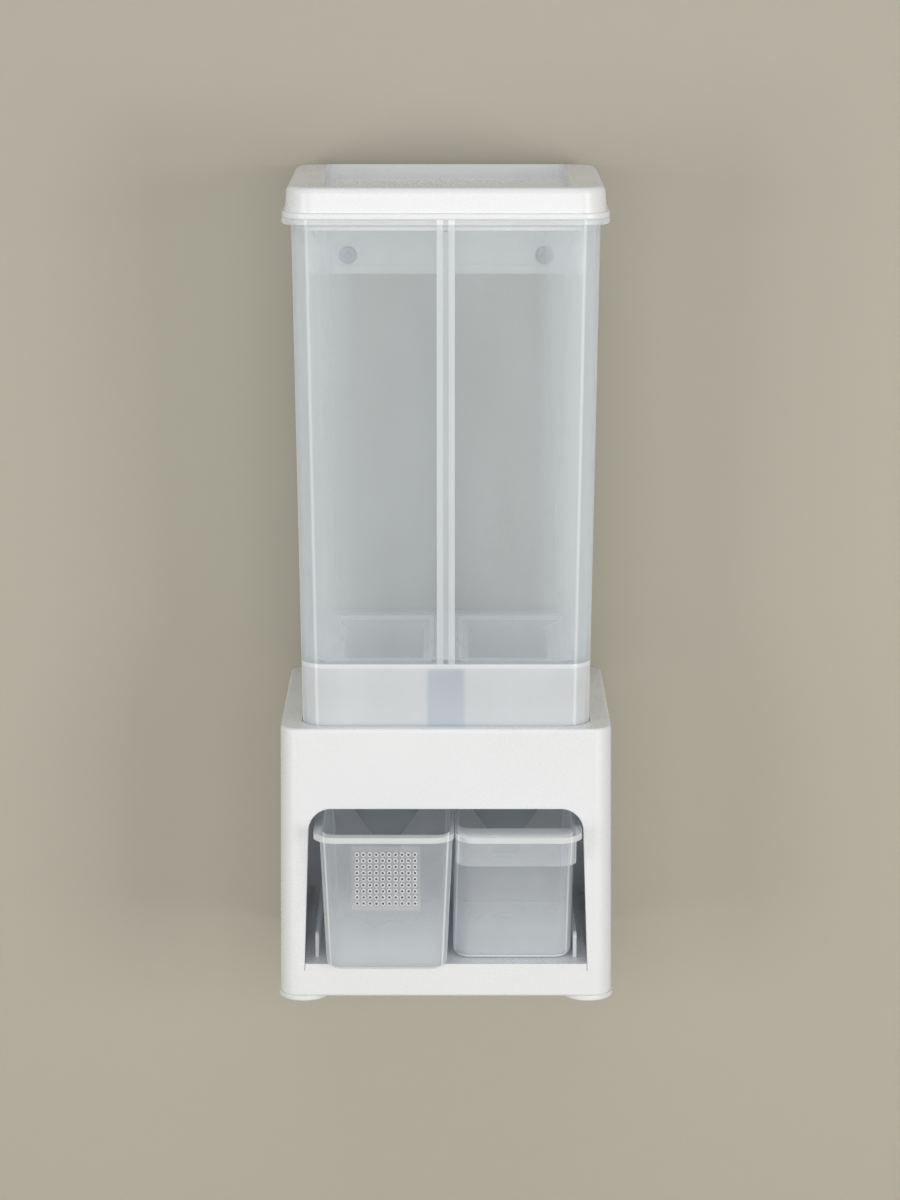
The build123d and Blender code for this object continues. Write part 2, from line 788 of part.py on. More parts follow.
# Divider: a drafted plate in the slots at the middle of the container
with BuildPart() as divider:
    with BuildSketch(Plane.YZ.offset(-divider_thick / 2)):
        low_h = container_floor_h + seat_gap
        low_y = floor_y - slide_gap
        high_y = low_y + (divider_top_h - low_h) * tan(radians(container_draft))
        with BuildLine():
            Polyline(
                (container_middle_y - low_y, level(low_h)),
                (container_middle_y + low_y, level(low_h)),
                (container_middle_y + high_y, level(divider_top_h)),
                (container_middle_y - high_y, level(divider_top_h)),
                close=True,
            )
        make_face()
    extrude(amount=divider_thick)
divider.part.label = "divider"
export_step(divider.part, "parts/divider.step")

# Lid: a drafted cap with a flange, a recess in its top and a plug that holds the seal
lid_top_h = container_top_h + lid_height


def lid_outline(height, inset=0.0):
    lean_in = (height - container_top_h) * tan(radians(lid_draft))
    width = container_rim_width - 2 * (lid_step_side + lean_in)
    depth = container_rim_depth - 2 * (lid_step_front + lean_in)
    return drawn_in(centred(width, depth, 0, container_middle_y), inset)


def lid_block(low_h, high_h, inset=0.0):
    low, high = lid_outline(low_h, inset), lid_outline(high_h, inset)
    return leaning_block(low_h, high_h, low, high, lid_corner - inset, lid_corner - inset)


def plug_plan(height, inset=0.0):
    shrink = container_wall + plug_gap + inset
    radius = container_corner - shrink
    return plan(height, container_outline(rim_under_h, shrink), radius, radius)


with BuildPart() as lid:
    extrude(
        plan(container_top_h, rim_outline, container_rim_corner, container_rim_corner),
        amount=lid_flange_thick,
    )
    flange_edges = lid.edges().group_by(Axis.Z)
    fillet(flange_edges[-1] + flange_edges[0], lid_flange_edge)
    with BuildPart() as cap:
        add(lid_block(container_top_h, lid_top_h))
        fillet(cap.edges().group_by(Axis.Z)[-1], lid_edge)
    add(lid_block(container_top_h, lid_top_h - lid_wall, lid_wall), mode=Mode.SUBTRACT)
    extrude(plug_plan(plug_end_h), amount=lid_top_h - lid_wall - plug_end_h)
    extrude(
        plug_plan(plug_end_h, plug_wall),
        amount=lid_top_h - lid_wall - plug_end_h,
        mode=Mode.SUBTRACT,
    )
    lid_left, lid_right, lid_front, lid_back = lid_outline(container_top_h)
    recess_outline = (
        lid_left + recess_side_bar,
        lid_right - recess_side_bar,
        lid_front + recess_front_bar,
        lid_back - recess_back_bar,
    )
    tub_h = lid_top_h - recess_drop - lid_wall
    tub_corner = recess_corner + lid_wall
    tub = plan(tub_h, drawn_in(recess_outline, -lid_wall), tub_corner, tub_corner)
    extrude(tub, amount=recess_drop)
    recess = plan(tub_h + lid_wall, recess_outline, recess_corner, recess_corner)
    extrude(recess, amount=recess_drop, mode=Mode.SUBTRACT)
    seal_h = container_top_h - seal_drop - seal_height
    extrude(plug_plan(seal_h, slide_gap - plug_gap), amount=seal_height, mode=Mode.SUBTRACT)
    extrude(plug_plan(seal_h, seal_sink), amount=seal_height)
    extrude(plug_plan(seal_h, plug_wall), amount=seal_height, mode=Mode.SUBTRACT)
lid.part.label = "lid"
export_step(lid.part, "parts/lid.step")

# Lid seal: a ring in the plug's groove
with BuildPart() as lid_seal:
    extrude(plug_plan(seal_h, slide_gap - plug_gap), amount=seal_height)
    extrude(plug_plan(seal_h, seal_sink), amount=seal_height, mode=Mode.SUBTRACT)
lid_seal.part.label = "lid_seal"
export_step(lid_seal.part, "parts/lid_seal.step")

# Cups: leaning boxes with a turned-down rim, which share the width of the arch
cup_rim_front_y = -base_depth - cup_stand_out
cup_rim_back_y = axle_y - paddle_thick / 2 - cup_lever_gap
cup_room = arch_width / 2 - (cup_top_h - tray_seam_h) * tan(radians(arch_lean))
left_rim_x = (cup_left_gap - cup_room, cup_meet_x - cup_meet_gap / 2)
right_rim_x = (cup_meet_x + cup_meet_gap / 2, cup_room - cup_right_gap)
open_front_y = cup_rim_front_y + cup_overhang
open_back_y = cup_rim_back_y - cup_overhang
left_open_x = (left_rim_x[0] + cup_overhang, left_rim_x[1] - cup_meet_overhang)
right_open_x = (right_rim_x[0] + cup_meet_overhang, right_rim_x[1] - cup_overhang)
left_top = (*left_open_x, open_front_y, open_back_y)
right_top = (*right_open_x, open_front_y, open_back_y)


# A cup's body or its room from a level up to the rim, from its outline at the rim
# and the angles that its left and right side lean in going down
def cup_block(low_h, top, leans, inset=0.0):
    drop = cup_top_h - low_h
    left, right, front, back = top
    draft = drop * tan(radians(cup_draft))
    low = (
        left + drop * tan(radians(leans[0])),
        right - drop * tan(radians(leans[1])),
        front + draft,
        back - draft,
    )
    radius = cup_corner - inset
    return leaning_block(
        low_h, cup_top_h, drawn_in(low, inset), drawn_in(top, inset), radius, radius
    )


def cup_body(top, leans):
    with BuildPart() as body:
        add(cup_block(cup_floor_h, top, leans))
        fillet(body.edges().group_by(Axis.Z)[0], cup_foot_radius)
    return body.part


def cup_inside(top, leans):
    with BuildPart() as room:
        add(cup_block(cup_floor_h + cup_wall, top, leans, cup_wall))
        fillet(room.edges().group_by(Axis.Z)[0], cup_foot_radius - cup_wall)
    return room.part


def cup_rim(rim_x):
    rim = (*rim_x, cup_rim_front_y, cup_rim_back_y)
    radius = cup_corner + cup_overhang
    inner_radius = radius - cup_lip_thick
    with BuildPart() as lip:
        extrude(plan(cup_lip_h, rim, radius, radius), amount=cup_lip_height)
        fillet(lip.edges().group_by(Axis.Z)[-1], cup_lip_edge)
        under = plan(cup_lip_h, drawn_in(rim, cup_lip_thick), inner_radius, inner_radius)
        extrude(under, amount=cup_lip_height - cup_wall, mode=Mode.SUBTRACT)
    return lip.part


# Left cup, with the drain grid in its front wall
left_leans = (cup_draft, cup_draft)
with BuildPart() as left_cup:
    add(cup_rim(left_rim_x))
    add(cup_body(left_top, left_leans))
    drain_face = Plane(
        origin=(
            (left_open_x[0] + left_open_x[1]) / 2,
            open_front_y + drain_drop * tan(radians(cup_draft)),
            level(cup_top_h - drain_drop),
        ),
        x_dir=(1, 0, 0),
        z_dir=(0, -cos(radians(cup_draft)), -sin(radians(cup_draft))),
    )
    with BuildSketch(drain_face.offset(-cup_wall / 2)):
        RectangleRounded(drain_pad_width, drain_pad_height, drain_pad_corner)
    extrude(amount=cup_wall / 2 + drain_pad_thick)
    add(cup_inside(left_top, left_leans), mode=Mode.SUBTRACT)
    with BuildSketch(drain_face.offset(drain_pad_thick)):
        with GridLocations(drain_pitch, drain_pitch, drain_columns, drain_rows):
            Circle(drain_radius)
    extrude(amount=-cup_wall - 2 * drain_pad_thick, mode=Mode.SUBTRACT)
left_cup.part.label = "left_cup"
export_step(left_cup.part, "parts/left_cup.step")

# Right cup, which leans along the left one. Its front wall stands back under a hood
# that the fingers pull.
right_leans = (-right_cup_draft, right_cup_draft)
hood_skirt_h = cup_top_h - hood_height
hood_plate_h = cup_top_h - hood_sink
hood_back_y = cup_rim_front_y + hood_depth
body_top = (*right_open_x, hood_back_y, open_back_y)
with BuildPart() as right_cup:
    hood_left, hood_right, hood_front = drawn_in(right_top, -hood_proud)[:3]
    hood_outline = (hood_left, hood_right, hood_front, hood_back_y + 2 * cup_corner)
    hood_room = drawn_in(hood_outline, hood_wall)
    room_corner = cup_corner - hood_wall
    hood = plan(hood_skirt_h, hood_outline, cup_corner, hood_wall)
    extrude(hood, amount=cup_top_h - cup_wall / 2 - hood_skirt_h)
    add(cup_rim(right_rim_x))
    under_hood = plan(hood_skirt_h, hood_room, room_corner, hood_wall)
    extrude(under_hood, amount=hood_plate_h - cup_wall - hood_skirt_h, mode=Mode.SUBTRACT)
    add(cup_body(body_top, right_leans))
    add(cup_inside(body_top, right_leans), mode=Mode.SUBTRACT)
    add(cup_block(hood_plate_h, right_top, right_leans, cup_wall), mode=Mode.SUBTRACT)
right_cup.part.label = "right_cup"
export_step(right_cup.part, "parts/right_cup.step")

# Wall bracket: a strip with two screw holes, whose top edge carries the container's rim
bracket_width = container_width + 2 * (container_spread - bracket_side_gap)
bracket_hole_spacing = bracket_width - 2 * bracket_hole_inset
with BuildPart() as wall_bracket:
    with BuildSketch(Plane.XZ):
        with Locations((0, level(bracket_bottom_h) + bracket_height / 2)):
            RectangleRounded(bracket_width, bracket_height, bracket_corner)
    extrude(amount=bracket_plate_thick)
    with BuildSketch(Plane.XZ.offset(bracket_plate_thick)):
        for lip_h in (bracket_bottom_h, bracket_top_h - bracket_lip_height):
            with Locations((0, level(lip_h) + bracket_lip_height / 2)):
                Rectangle(bracket_width - 2 * bracket_corner, bracket_lip_height)
    extrude(amount=container_rim_front - bracket_plate_thick)
    with BuildSketch(Plane.XZ):
        with GridLocations(bracket_hole_spacing, 1, 2, 1):
            Circle(bracket_hole_radius)
    extrude(amount=bracket_plate_thick, mode=Mode.SUBTRACT)
    with BuildSketch(Plane.XZ.offset(bracket_plate_thick)):
        with GridLocations(bracket_hole_spacing, 1, 2, 1):
            Circle(bracket_sink_radius)
    extrude(amount=-bracket_sink_depth, mode=Mode.SUBTRACT)
wall_bracket.part.label = "wall_bracket"
export_step(wall_bracket.part, "parts/wall_bracket.step")
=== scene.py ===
import json
import math

import bmesh
import bpy
from mathutils import Matrix, Vector


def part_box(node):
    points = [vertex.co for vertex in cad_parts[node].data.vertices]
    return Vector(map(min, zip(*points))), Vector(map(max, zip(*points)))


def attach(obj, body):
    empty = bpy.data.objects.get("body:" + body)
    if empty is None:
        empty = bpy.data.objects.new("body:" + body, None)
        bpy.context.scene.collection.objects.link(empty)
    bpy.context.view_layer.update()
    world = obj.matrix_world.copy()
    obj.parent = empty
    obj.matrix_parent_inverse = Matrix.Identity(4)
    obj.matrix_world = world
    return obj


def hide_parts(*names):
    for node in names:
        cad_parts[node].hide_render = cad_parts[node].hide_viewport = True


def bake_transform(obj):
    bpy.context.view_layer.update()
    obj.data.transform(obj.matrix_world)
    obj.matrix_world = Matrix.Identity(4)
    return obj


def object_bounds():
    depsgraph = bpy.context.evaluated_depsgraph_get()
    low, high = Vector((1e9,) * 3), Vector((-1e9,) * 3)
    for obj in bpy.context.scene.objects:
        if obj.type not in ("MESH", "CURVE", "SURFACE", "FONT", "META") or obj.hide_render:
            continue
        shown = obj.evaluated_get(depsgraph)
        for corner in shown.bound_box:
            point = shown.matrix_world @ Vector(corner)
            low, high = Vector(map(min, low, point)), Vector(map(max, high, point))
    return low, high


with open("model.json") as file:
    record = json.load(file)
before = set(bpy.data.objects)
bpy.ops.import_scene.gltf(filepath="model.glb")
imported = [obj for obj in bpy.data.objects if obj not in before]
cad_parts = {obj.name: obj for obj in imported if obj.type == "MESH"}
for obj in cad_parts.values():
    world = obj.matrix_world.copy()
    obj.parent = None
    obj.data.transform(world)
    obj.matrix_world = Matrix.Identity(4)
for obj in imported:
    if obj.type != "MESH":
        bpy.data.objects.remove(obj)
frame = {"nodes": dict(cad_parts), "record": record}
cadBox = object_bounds()

mm = 0.001
mergeWithin = 0.002 * mm
creaseAngle = 35.0


# A socket with arithmetic, so that shader maths reads as plain expressions
class Wire:
    def __init__(self, tree, socket=None):
        self.tree = tree
        self.socket = socket

    def node(self, kind, settings=None, sockets=None, out=0):
        made = self.tree.nodes.new(kind)
        for name, value in (settings or {}).items():
            setattr(made, name, value)
        for name, value in (sockets or {}).items():
            if isinstance(value, Wire):
                self.tree.links.new(value.socket, made.inputs[name])
            else:
                made.inputs[name].default_value = value
        return Wire(self.tree, made.outputs[out])

    def maths(self, operation, first, second):
        return self.node("ShaderNodeMath", {"operation": operation}, {0: first, 1: second})

    def __add__(self, other):
        return self.maths("ADD", self, other)

    def __radd__(self, other):
        return self.maths("ADD", other, self)

    def __sub__(self, other):
        return self.maths("SUBTRACT", self, other)

    def __rsub__(self, other):
        return self.maths("SUBTRACT", other, self)

    def __mul__(self, other):
        return self.maths("MULTIPLY", self, other)

    def __rmul__(self, other):
        return self.maths("MULTIPLY", other, self)

    def __pow__(self, other):
        return self.maths("POWER", self, other)

    def __rpow__(self, other):
        return self.maths("POWER", other, self)


# A new material: the wire that its nodes start from and the socket of its surface
def newFinish(name):
    finish = bpy.data.materials.new(name)
    finish.use_nodes = True
    finish.node_tree.nodes.clear()
    output = finish.node_tree.nodes.new("ShaderNodeOutputMaterial")
    return finish, Wire(finish.node_tree), output.inputs["Surface"]


coarse, fine = 2.0, 3.0  # detail of the noise


# Noise over the piece's own coordinates, which stay with it as it moves
def noise(start, scale, detail=coarse, stretch=None):
    place = start.node("ShaderNodeTexCoord", out="Object")
    if stretch:
        place = start.node("ShaderNodeMapping", None, {"Vector": place, "Scale": stretch})
    return start.node(
        "ShaderNodeTexNoise", None, {"Vector": place, "Scale": scale, "Detail": detail}
    )


# From one colour to another, each an (r, g, b) or a wire. The sockets go by number, because
# those of a Mix node share their names.
def blendColours(start, share, first, second):
    ends = [end if isinstance(end, Wire) else (*end, 1.0) for end in (first, second)]
    return start.node(
        "ShaderNodeMix", {"data_type": "RGBA"}, {0: share, 6: ends[0], 7: ends[1]}, out=2
    )


def bumpFrom(start, height, depth, strength=1.0):
    return start.node(
        "ShaderNodeBump", None, {"Height": height, "Distance": depth, "Strength": strength}
    )


# How much each pattern moves the roughness from its lowest to its highest
roughBy = {"grain": 0.1, "cloud": 0.06, "flow": 0.14, "milkyGrain": 0.08, "lines": 0.16}
plasticIor, milkyIor = 1.49, 1.5


# A roughness that patterns of (wire, name in roughBy) move about its middle
def roughen(middle, patterns):
    rough = middle - sum(roughBy[name] for _, name in patterns) / 2
    for pattern, name in patterns:
        rough = pattern * roughBy[name] + rough
    return rough


# Opaque moulded plastic: fine grain, faint flow clouds and a soft sheen
def makeOpaquePlastic(name, look):
    finish, start, surface = newFinish(name)
    grain = noise(start, look["grainScale"], fine)
    cloud = noise(start, look["cloudScale"])
    shader = start.node(
        "ShaderNodeBsdfPrincipled",
        None,
        {
            "Base Color": blendColours(start, cloud, look["shade"], look["light"]),
            "Roughness": roughen(look["roughness"], ((grain, "grain"), (cloud, "cloud"))),
            "Normal": bumpFrom(start, grain, look["grainDepth"]),
            "IOR": plasticIor,
        },
    )
    finish.node_tree.links.new(shader.socket, surface)
    return finish


# Where a place lies between two distances along a direction: 1 inside, 0 outside
def band(start, along, low, high, soft):
    place = start.node("ShaderNodeTexCoord", out="Object")
    reach = start.node(
        "ShaderNodeVectorMath", {"operation": "DOT_PRODUCT"}, {0: place, 1: along}, out="Value"
    )
    middle, half = (low + high) / 2, (high - low) / 2
    away = start.node("ShaderNodeMath", {"operation": "ABSOLUTE"}, {0: reach - middle})
    return start.node(
        "ShaderNodeMapRange",
        None,
        {"Value": away, "From Min": half + soft / 2, "From Max": half - soft / 2},
    )


# Milky plastic: each face lets part of the view through, less so seen along the wall and where
# the moulding is thick.
# Some places are thick, and others paint light, shade or highlights; each has its bands of
# (direction, low, high), its added milk, its colour and the width of its soft edge.
def makeMilkyPlastic(name, look, thickAndPaintedPlaces=()):
    finish, start, surface = newFinish(name)
    grain = noise(start, look["grainScale"], fine)
    cloud = noise(start, look["cloudScale"], fine)
    flow = noise(start, look["flowScale"], fine, (1.0, 1.0, look["flowStretch"]))
    slant = start.node("ShaderNodeLayerWeight", None, {"Blend": 0.5}, out="Facing")
    milk = flow * look["flowMilk"] + cloud * look["cloudMilk"] + look["milk"]
    colour = blendColours(start, cloud, look["shade"], look["light"])
    for place in thickAndPaintedPlaces:
        inside = 1.0
        for along, low, high in place["bands"]:
            inside = band(start, along, low, high, place["soft"]) * inside
        milk = milk + inside * place["milk"]
        colour = blendColours(start, inside, colour, place["colour"])
    shader = start.node(
        "ShaderNodeBsdfPrincipled",
        None,
        {
            "Base Color": colour,
            "Roughness": roughen(look["roughness"], ((flow, "flow"), (grain, "milkyGrain"))),
            "Alpha": milk + (slant ** look["slantPower"]) * look["slantMilk"],
            "Normal": bumpFrom(start, grain, look["grainDepth"]),
            "IOR": milkyIor,
        },
    )
    finish.node_tree.links.new(shader.socket, surface)
    return finish


# Drawn or turned steel: fine lines round or along the piece
def makeSteel(name, look):
    finish, start, surface = newFinish(name)
    lines = noise(start, look["lineScale"], coarse, look["stretch"])
    shader = start.node(
        "ShaderNodeBsdfPrincipled",
        None,
        {
            "Base Color": blendColours(start, lines, look["shade"], look["light"]),
            "Metallic": 1.0,
            "Roughness": roughen(look["roughness"], ((lines, "lines"),)),
            "Normal": bumpFrom(start, lines, look["lineDepth"]),
        },
    )
    finish.node_tree.links.new(shader.socket, surface)
    return finish


whitePlastic = {
    "light": (0.885, 0.89, 0.9),
    "shade": (0.85, 0.855, 0.865),
    "roughness": 0.28,
    "grainScale": 1100.0,
    "grainDepth": 0.002 * mm,
    "cloudScale": 16.0,
}
bracketPlastic = {
    "light": (0.96, 0.945, 0.905),
    "shade": (0.94, 0.925, 0.885),
    "roughness": 0.42,
    "grainScale": 1400.0,
    "grainDepth": 0.015 * mm,
    "cloudScale": 25.0,
}
# The levers' grey plastic, made dark so that it also paints the shade inside the base
greyPlasticAndShade = {
    "light": (0.3, 0.33, 0.36),
    "shade": (0.26, 0.29, 0.32),
    "roughness": 0.4,
    "grainScale": 1800.0,
    "grainDepth": 0.02 * mm,
    "cloudScale": 30.0,
}
siliconePlastic = {
    "light": (0.7, 0.71, 0.7),
    "shade": (0.62, 0.63, 0.62),
    "roughness": 0.55,
    "grainScale": 1200.0,
    "grainDepth": 0.01 * mm,
    "cloudScale": 40.0,
}
containerPlastic = {
    "light": (0.88, 0.93, 0.965),
    "shade": (0.84, 0.89, 0.93),
    "thickAndHighlightColour": (0.92, 0.94, 0.96),
    "milk": 0.075,
    "flowMilk": 0.16,
    "cloudMilk": 0.06,
    "slantMilk": 0.7,
    "slantPower": 2.4,
    "roughness": 0.3,
    "grainScale": 1500.0,
    "grainDepth": 0.006 * mm,
    "cloudScale": 12.0,
    "flowScale": 26.0,
    "flowStretch": 0.14,
    "ribMilk": 0.3,
    "skirtMilk": 0.3,
    "rimMilk": 0.4,
    "skirtBelowFloor": 1.8 * mm,
    "floorMilk": 0.2,
    "floorTall": 2.2 * mm,
    "gapMilk": -0.07,
    "gapColour": (0.84, 0.9, 0.97),
    "gapReach": 9.4 * mm,
    "gapBelowFloor": 3.0 * mm,
    "gapSoft": 2.0 * mm,
    "ribReach": (1.3 * mm, 4.5 * mm),
    "rimTall": 3.0 * mm,
    "paintedSideLightMilk": 0.18,
    "paintedSideLightReach": 22.0 * mm,
    "paintedSideLightSoft": 28.0 * mm,
    "highlightLineFromEdge": 13.0 * mm,
    "cornerLean": 0.0138,
    "highlightLineMilk": 0.2,
    "highlightLineWide": 1.4 * mm,
    "highlightLineSoft": 0.8 * mm,
}
dividerPlastic = dict(
    containerPlastic, light=(0.88, 0.905, 0.93), shade=(0.84, 0.865, 0.89), milk=0.45
)
cupPlastic = {
    "light": (0.9, 0.94, 0.98),
    "shade": (0.86, 0.9, 0.94),
    "thickAndHighlightColour": (0.95, 0.96, 0.975),
    "milk": 0.1,
    "flowMilk": 0.08,
    "cloudMilk": 0.04,
    "slantMilk": 0.8,
    "slantPower": 2.2,
    "roughness": 0.22,
    "grainScale": 1600.0,
    "grainDepth": 0.006 * mm,
    "cloudScale": 20.0,
    "flowScale": 40.0,
    "flowStretch": 0.3,
    "rimMilk": 0.26,
    "paintedTopShadeMilk": -0.45,
    "footMilk": 0.35,
    "padMilk": 0.05,
    "padReach": (17.5 * mm, 17.0 * mm),
    "padDeep": 8.0 * mm,
    "highlightLineMilk": 0.3,
    "highlightLineInset": 2.4 * mm,
    "highlightLineWide": 0.9 * mm,
    "highlightLineSoft": 0.5 * mm,
    "paintedLowLightMilk": 0.15,
    "paintedLowLightTall": 34.0 * mm,
    "rimTall": 3.6 * mm,
    "footTall": 2.2 * mm,
}
ringPlastic = dict(cupPlastic, light=(0.95, 0.955, 0.96), shade=(0.92, 0.925, 0.93), milk=0.75)

# A dark lining inside the drain holes: painted shade
holeShadePaint = {
    "light": (0.3, 0.34, 0.38),
    "shade": (0.24, 0.28, 0.32),
    "roughness": 0.35,
    "grainScale": 1600.0,
    "grainDepth": 0.004 * mm,
    "cloudScale": 60.0,
}
brightSteel = {
    "light": (0.62, 0.64, 0.67),
    "shade": (0.45, 0.47, 0.5),
    "roughness": 0.3,
    "lineScale": 2600.0,
    "lineDepth": 0.004 * mm,
    "stretch": (0.15, 1.0, 1.0),
}
blueSteel = {
    "light": (0.24, 0.31, 0.38),
    "shade": (0.17, 0.23, 0.3),
    "roughness": 0.38,
    "lineScale": 2200.0,
    "lineDepth": 0.004 * mm,
    "stretch": (1.0, 0.2, 1.0),
}

# The forms that the milky plastics and the drain grid follow on the cups
cupForm = {
    "overhang": 2.9 * mm,  # of the rim past the walls
    "meetOverhang": 0.5 * mm,  # where the two cups meet
    "leftLean": 2.6,
    "rightLean": 1.4,
    "padBelowRim": 23.0 * mm,
}

sharp = 0.4 * mm
sideways, upwards, frontwards = (1, 0, 0), (0, 0, 1), (0, -1, 0)

# A milky place that is thick, or that paints light, shade or a highlight

def thickOrPaintedPlace(bands, milk, colour, soft=sharp):
    return {"bands": bands, "milk": milk, "colour": colour, "soft": soft}


# The skirt below the floor, the rim and the divider's slots are thick. The outer sides are
# milkier and lighter as painted light, and a thin line near each corner is a painted highlight.
# The gap between the two hoppers is clearer.
containerLow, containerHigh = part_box("container")
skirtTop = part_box("divider")[0][2] - containerPlastic["skirtBelowFloor"]
thickAndHighlightColour = containerPlastic["thickAndHighlightColour"]
ribNear, ribFar = containerPlastic["ribReach"]
paintedSideLightReach = containerPlastic["paintedSideLightReach"]
gap = containerPlastic["gapReach"]
gapTop = skirtTop - containerPlastic["gapBelowFloor"]
above = (upwards, skirtTop, containerHigh[2])
containerThickAndPainted = [
    thickOrPaintedPlace(
        [(upwards, containerLow[2], skirtTop)], containerPlastic["skirtMilk"], thickAndHighlightColour
    ),
    thickOrPaintedPlace(
        [(upwards, skirtTop - containerPlastic["floorTall"], skirtTop)],
        containerPlastic["floorMilk"],
        thickAndHighlightColour,
    ),
    thickOrPaintedPlace(
        [(sideways, -gap, gap), (upwards, containerLow[2], gapTop)],
        containerPlastic["gapMilk"],
        containerPlastic["gapColour"],
        containerPlastic["gapSoft"],
    ),
    thickOrPaintedPlace(
        [(upwards, containerHigh[2] - containerPlastic["rimTall"], containerHigh[2] + mm)],
        containerPlastic["rimMilk"],
        thickAndHighlightColour,
    ),
]
for side in (-1, 1):
    lean = (side, 0, -containerPlastic["cornerLean"])
    line = containerHigh[0] - containerPlastic["highlightLineFromEdge"]
    line -= containerPlastic["cornerLean"] * containerHigh[2]
    containerThickAndPainted += [
        thickOrPaintedPlace(
            [((side, 0, 0), ribNear, ribFar), above], containerPlastic["ribMilk"], thickAndHighlightColour
        # The container's outer sides, milkier and lighter: painted light
        ),
        thickOrPaintedPlace(
            [
                ((side, 0, 0), containerHigh[0] - paintedSideLightReach, containerHigh[0] + paintedSideLightReach),
                above,
            ],
            containerPlastic["paintedSideLightMilk"],
            containerPlastic["light"],
            containerPlastic["paintedSideLightSoft"],
        ),
        # A thin milkier line near each corner: a painted highlight
        thickOrPaintedPlace(
            [(lean, line, line + containerPlastic["highlightLineWide"])],
            containerPlastic["highlightLineMilk"],
            thickAndHighlightColour,
            containerPlastic["highlightLineSoft"],
        ),
    ]

# So are the cups' feet, rims and drain pad. The lines near the corners are painted highlights,
# the lower cups are lighter as painted light, and the rims' tops are clearer as painted shade.
cupLow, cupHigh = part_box("left_cup")
rightLow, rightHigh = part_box("right_cup")
cupThickAndHighlightColour = cupPlastic["thickAndHighlightColour"]
cupThickAndPainted = [
    # The lower part of each cup, milkier and lighter: painted light
    thickOrPaintedPlace(
        [(upwards, cupLow[2] - cupPlastic["paintedLowLightTall"], cupLow[2] + cupPlastic["paintedLowLightTall"])],
        cupPlastic["paintedLowLightMilk"],
        cupPlastic["light"],
        cupPlastic["paintedLowLightTall"],
    ),
    thickOrPaintedPlace(
        [(upwards, cupLow[2] - mm, cupLow[2] + cupPlastic["footTall"])],
        cupPlastic["footMilk"],
        cupThickAndHighlightColour,
    ),
    thickOrPaintedPlace(
        [(upwards, cupHigh[2] - cupPlastic["rimTall"], cupHigh[2] + mm)],
        cupPlastic["rimMilk"],
        cupThickAndHighlightColour,
    ),
    # The rims' tops, clearer and so greyer: painted shade
    thickOrPaintedPlace(
        [(upwards, cupHigh[2] - sharp, cupHigh[2] + mm)],
        cupPlastic["paintedTopShadeMilk"],
        cupPlastic["light"],
    ),
]
overhang, meetOverhang = cupForm["overhang"], cupForm["meetOverhang"]
padMiddle = (cupLow[0] + overhang + cupHigh[0] - meetOverhang) / 2
padWide, padTall = cupPlastic["padReach"]
padHeight = cupHigh[2] - cupForm["padBelowRim"]
cupThickAndPainted.append(
    thickOrPaintedPlace(
        [
            (sideways, padMiddle - padWide, padMiddle + padWide),
            (upwards, padHeight - padTall, padHeight + padTall),
            (frontwards, -cupLow[1] - cupPlastic["padDeep"], -cupLow[1]),
        ],
        cupPlastic["padMilk"],
        cupThickAndHighlightColour,
    )
)
leftLean = math.tan(math.radians(cupForm["leftLean"]))
rightLean = math.tan(math.radians(cupForm["rightLean"]))
# Each side wall gets a thin milkier line, a painted highlight: its place at the top, its lean to
# the right going up, and which way is inwards
for top, lean, inwards in (
    (cupLow[0] + overhang, -leftLean, 1),
    (cupHigh[0] - meetOverhang, leftLean, -1),
    (rightLow[0] + meetOverhang, rightLean, 1),
    (rightHigh[0] - overhang, rightLean, -1),
):
    line = top - lean * cupHigh[2] + inwards * cupPlastic["highlightLineInset"]
    half = cupPlastic["highlightLineWide"] / 2
    cupThickAndPainted.append(
        thickOrPaintedPlace(
            [((1, 0, -lean), line - half, line + half)],
            cupPlastic["highlightLineMilk"],
            cupThickAndHighlightColour,
            cupPlastic["highlightLineSoft"],
        )
    )

finishes = {
    "white": makeOpaquePlastic("white moulded plastic", whitePlastic),
    "bracket": makeOpaquePlastic("bracket plastic", bracketPlastic),
    "grey": makeOpaquePlastic("grey plastic darkened as painted shade", greyPlasticAndShade),
    "silicone": makeOpaquePlastic("silicone", siliconePlastic),
    "container": makeMilkyPlastic("milky container plastic", containerPlastic, containerThickAndPainted),
    "divider": makeMilkyPlastic("milky divider plastic", dividerPlastic),
    "cup": makeMilkyPlastic("milky cup plastic", cupPlastic, cupThickAndPainted),
    "ring": makeMilkyPlastic("milky ring plastic", ringPlastic),
    # The hole finish is the dark lining of the drain holes, painted shade
    "hole": makeOpaquePlastic("painted shade of the drain holes", holeShadePaint),
    "steel": makeSteel("bright steel", brightSteel),
    "blueSteel": makeSteel("blue plated steel", blueSteel),
}
slotFinishes = {
    "white_plastic": "white",
    "frosted_plastic": "container",
    "grey_plastic": "grey",
    "steel": "steel",
    "silicone": "silicone",
}
nodeFinishes = {
    "wall_bracket": "bracket",
    "divider": "divider",
    "left_cup": "cup",
    "right_cup": "cup",
}
slotOf = {part["node"]: part["material_slot"] for part in frame["record"]["subparts"]}
for name, piece in frame["nodes"].items():
    chosen = nodeFinishes.get(name, slotFinishes[slotOf[name]])
    for holder in piece.material_slots:
        holder.material = finishes[chosen]
print("finishes made:", len(finishes))


